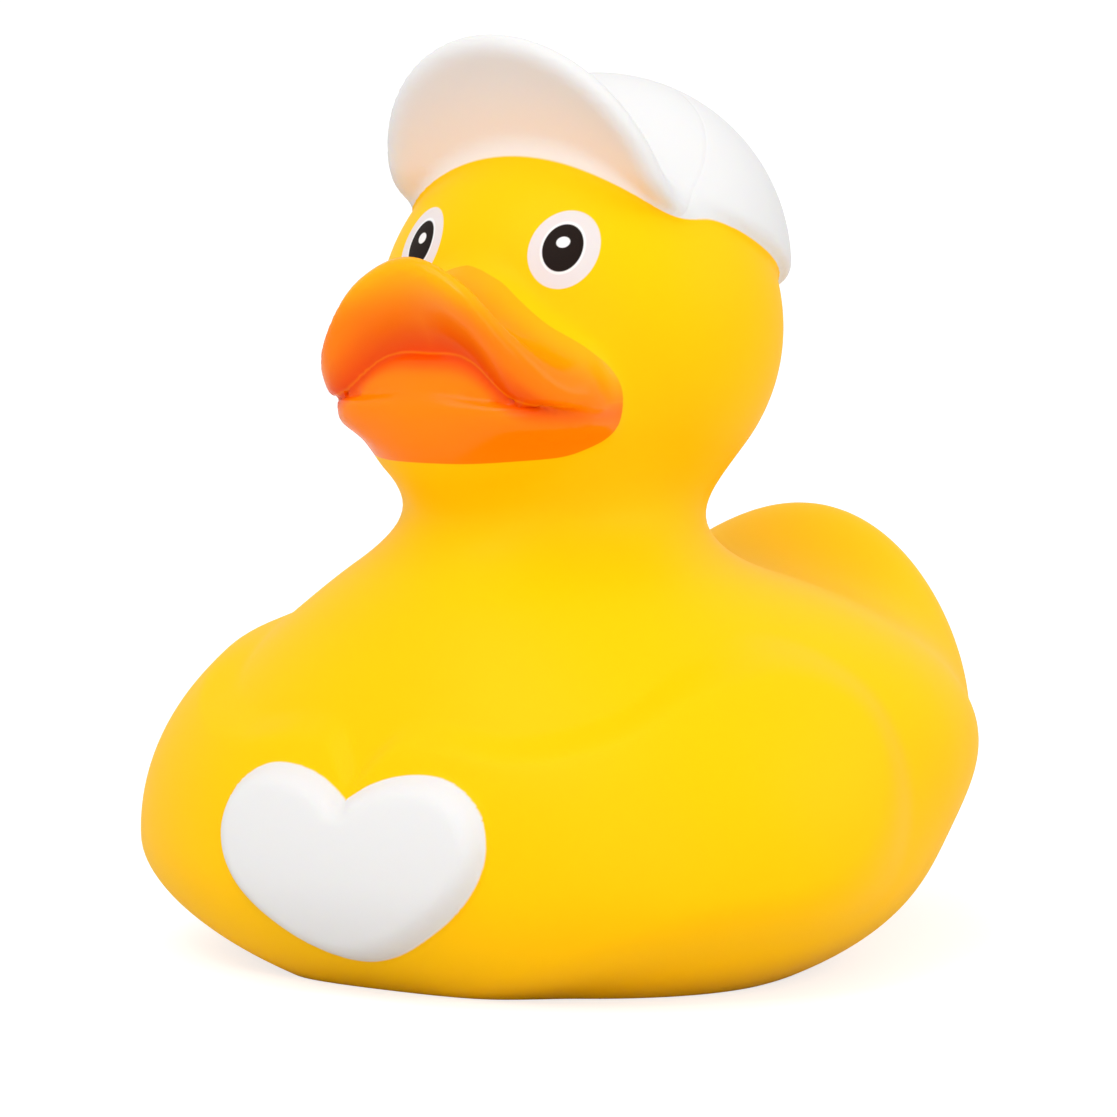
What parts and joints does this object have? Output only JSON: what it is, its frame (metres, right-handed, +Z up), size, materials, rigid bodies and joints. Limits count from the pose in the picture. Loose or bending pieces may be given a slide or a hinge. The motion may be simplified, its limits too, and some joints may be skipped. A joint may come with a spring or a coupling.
{
  "type": "rubber duck",
  "caption": "Hollow vinyl bath duck with a raised heart on its breast and a moulded peaked cap, standing on a flat sole.",
  "frame": {"origin": "on the flat sole, in the mirror plane of the duck, below the middle of its neck", "axes": "+Z up from the flat sole, the bill and the heart face -Y, and the duck's own left side is +X"},
  "size_m": [0.0722, 0.0824, 0.0803],
  "materials": {
    "vinyl": "satin"
  },
  "bodies": {
    "root": {"duck": "vinyl"}
  },
  "joints": []
}
